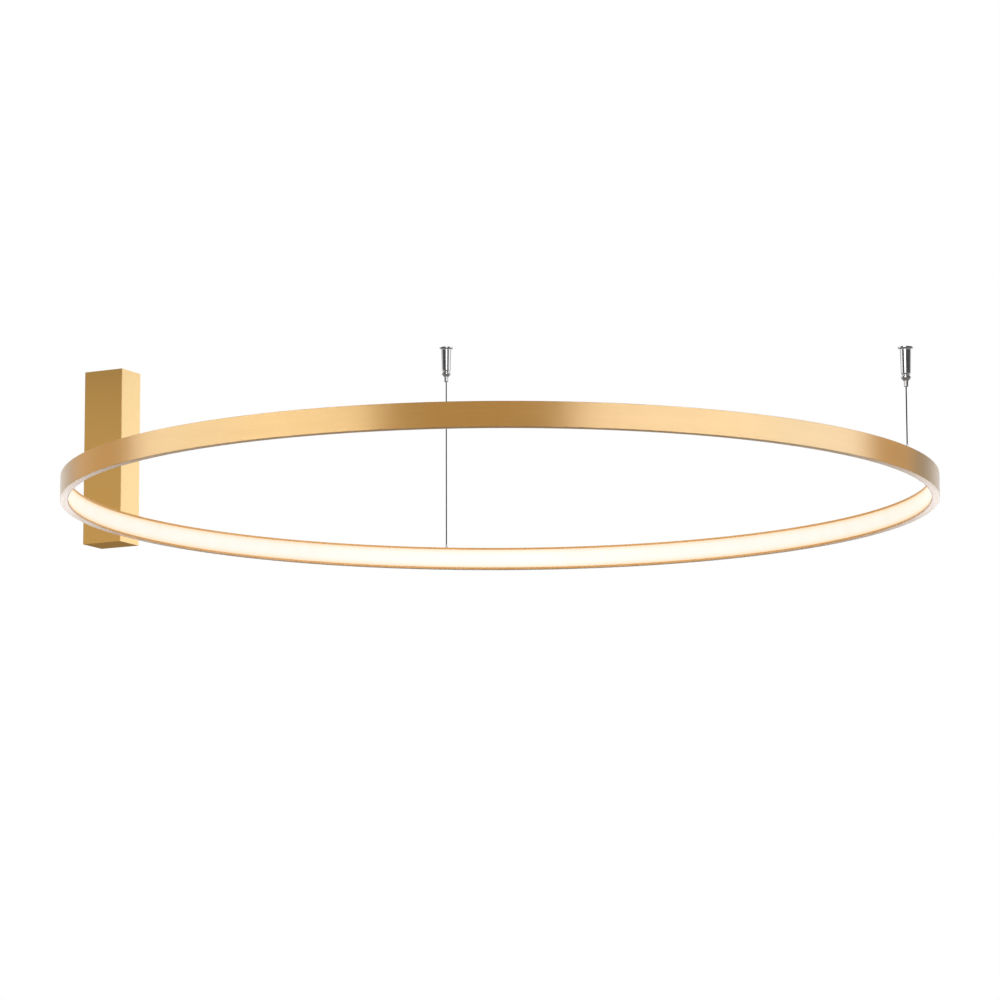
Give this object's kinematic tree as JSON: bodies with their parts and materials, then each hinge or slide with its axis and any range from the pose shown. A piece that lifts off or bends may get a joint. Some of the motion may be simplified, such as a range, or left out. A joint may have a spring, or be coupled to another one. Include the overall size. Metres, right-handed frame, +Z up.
{
  "type": "led ceiling light",
  "caption": "Thin horizontal light ring with an inward-glowing band, carried by a square drop box on the ceiling and by steel cables with push-release ceiling grippers.",
  "frame": {"origin": "on the ceiling, at the middle of the box's bracket, between its two screw holes", "axes": "+Z up out of the ceiling face, +X from the box to the middle of the ring, +Y to the left when facing along +X"},
  "size_m": [1.0608, 1, 0.2885],
  "materials": {
    "ring_gold": "satin gold anodised",
    "box_gold": "satin gold lacquer on steel",
    "opal": "opal, lit from behind",
    "strip_white": "white solder mask",
    "diode_yellow": "phosphor gel",
    "resistor_black": "glazed",
    "zinc_steel": "bright zinc plated",
    "grommet_rubber": "soft matt",
    "driver_case": "fine spark texture",
    "board_green": "solder mask",
    "ferrite": "ground ferrite",
    "winding_tape": "polyester tape",
    "bobbin_black": "moulded",
    "copper_wire": "enamelled copper",
    "capacitor_can": "shrink sleeve",
    "chip_black": "moulded epoxy",
    "terminal_white": "moulded",
    "clamp_brass": "turned",
    "tag_brass": "tinned brass",
    "wire_brown": "insulation",
    "wire_blue": "insulation",
    "wire_green": "insulation",
    "wire_red": "insulation",
    "wire_black": "insulation",
    "cable_steel": "stranded steel",
    "bush_nickel": "nickel plated",
    "ferrule_aluminium": "crimped",
    "gripper_chrome": "polished chrome",
    "spring_cap_brass": "turned",
    "spring_steel": "drawn wire",
    "ball_steel": "ground balls"
  },
  "bodies": {
    "lamp": {"board_screws": "zinc_steel", "box_shell": "box_gold", "bracket_screws": "zinc_steel", "cable_a": "cable_steel", "cable_b": "cable_steel", "cable_bush_a": "bush_nickel", "cable_bush_b": "bush_nickel", "cable_ferrule_a": "ferrule_aluminium", "cable_ferrule_b": "ferrule_aluminium", "cap_screws": "zinc_steel", "carrier": "zinc_steel", "ceiling_bracket": "zinc_steel", "diffuser": "opal", "driver_base": "driver_case", "driver_board": "board_green", "driver_capacitors": "capacitor_can", "driver_chips": "chip_black", "driver_choke": "copper_wire", "driver_lid": "driver_case", "driver_screws": "zinc_steel", "earth_nut": "zinc_steel", "earth_tag": "tag_brass", "foot_cap": "box_gold", "lead_grommet": "grommet_rubber", "led_chips": "diode_yellow", "led_strip": "strip_white", "mains_grommet": "grommet_rubber", "ring_profile": "ring_gold", "ring_studs": "zinc_steel", "saddle": "ring_gold", "strip_resistors": "resistor_black", "stud_nuts": "zinc_steel", "stud_washers": "zinc_steel", "terminal_block": "terminal_white", "terminal_clamps": "clamp_brass", "terminal_fixings": "zinc_steel", "terminal_screws": "zinc_steel", "transformer_bobbin": "bobbin_black", "transformer_core": "ferrite", "transformer_winding": "winding_tape", "wire_earth": "wire_green", "wire_live": "wire_brown", "wire_negative": "wire_black", "wire_neutral": "wire_blue", "wire_positive": "wire_red"},
    "gripper_a": {"ceiling_cup_a": "gripper_chrome", "gripper_body_a": "gripper_chrome", "spring_cap_a": "spring_cap_brass", "release_spring_a": "spring_steel"},
    "plunger_a": {"release_plunger_a": "gripper_chrome", "grip_balls_a": "ball_steel"},
    "gripper_b": {"ceiling_cup_b": "gripper_chrome", "gripper_body_b": "gripper_chrome", "spring_cap_b": "spring_cap_brass", "release_spring_b": "spring_steel"},
    "plunger_b": {"release_plunger_b": "gripper_chrome", "grip_balls_b": "ball_steel"}
  },
  "joints": [
    {"name": "height_a", "type": "slide", "parent": "lamp", "child": "gripper_a", "axis": [0, 0, 1], "range_m": [-0.2, 0.01]},
    {"name": "press_a", "type": "slide", "parent": "gripper_a", "child": "plunger_a", "axis": [0, 0, 1], "range_m": [0, 0.003], "stiffness_N_per_m": 800, "springref_m": -0.003, "deforming": ["release_spring_a"]},
    {"name": "height_b", "type": "slide", "parent": "lamp", "child": "gripper_b", "axis": [0, 0, 1], "range_m": [-0.06, 0.01]},
    {"name": "press_b", "type": "slide", "parent": "gripper_b", "child": "plunger_b", "axis": [0, 0, 1], "range_m": [0, 0.003], "stiffness_N_per_m": 800, "springref_m": -0.003, "deforming": ["release_spring_b"]}
  ]
}
